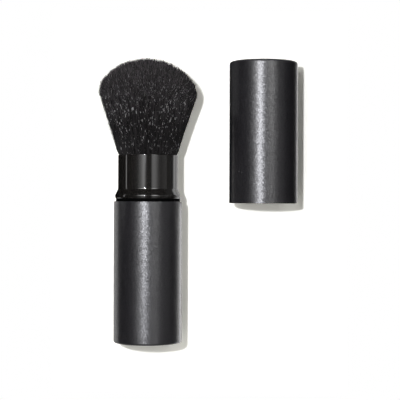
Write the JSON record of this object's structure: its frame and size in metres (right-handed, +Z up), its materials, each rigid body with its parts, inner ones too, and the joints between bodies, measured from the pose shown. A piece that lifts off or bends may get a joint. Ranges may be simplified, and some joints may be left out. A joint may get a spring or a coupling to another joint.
{
  "type": "retractable makeup brush",
  "caption": "Twist-up powder brush with a flared domed tuft, a round tube handle and a gloss collar, lying beside its pull-off tube cap.",
  "frame": {"origin": "centre of the flat closed end of the handle", "axes": "+Y along the brush's axis from the handle's closed end to the tip of the tuft, +Z up from the surface that the brush and its cap lie on, +X from the brush to the cap lying beside it"},
  "size_m": [0.0791, 0.1119, 0.033],
  "materials": {
    "matt_black_metal": "matt black anodised, fine grain",
    "gloss_black_metal": "gloss black",
    "black_plastic": "moulded satin black",
    "cream_plastic": "natural acetal",
    "spring_steel": "bright wire",
    "grey_rubber": "matt silicone",
    "pale_aluminium": "drawn",
    "amber_glue": "cured resin",
    "black_hair": "crimped synthetic hair"
  },
  "bodies": {
    "neck": {"collar_shell": "gloss_black_metal", "guide_tube": "black_plastic", "retaining_ring": "spring_steel", "drag_washer": "grey_rubber"},
    "handle": {"handle_shell": "matt_black_metal", "end_plug": "black_plastic", "spiral_sleeve": "cream_plastic"},
    "brush_head": {"carrier": "black_plastic", "ferrule": "pale_aluminium", "glue_plug": "amber_glue", "bristles_1": "black_hair", "bristles_2": "black_hair", "bristles_3": "black_hair", "bristles_4": "black_hair"},
    "cap": {"cap_shell": "matt_black_metal", "cap_liner": "black_plastic"}
  },
  "joints": [
    {"name": "handle_twist", "type": "hinge", "parent": "neck", "child": "handle", "pos_m": [0, 0.0562, 0], "axis": [0, 1, 0], "range_deg": [0, 450]},
    {"name": "head_slide", "type": "slide", "parent": "neck", "child": "brush_head", "axis": [0, 1, 0], "range_m": [-0.038, 0], "deforming": ["bristles_1", "bristles_2", "bristles_3", "bristles_4"]},
    {"name": "cap_slide", "type": "slide", "parent": "neck", "child": "cap", "axis": [0, 1, 0], "range_m": [0, 0.03]}
  ],
  "couplings": [
    {"joint": "head_slide", "follows": "handle_twist", "m_per_rad": -0.004838}
  ]
}
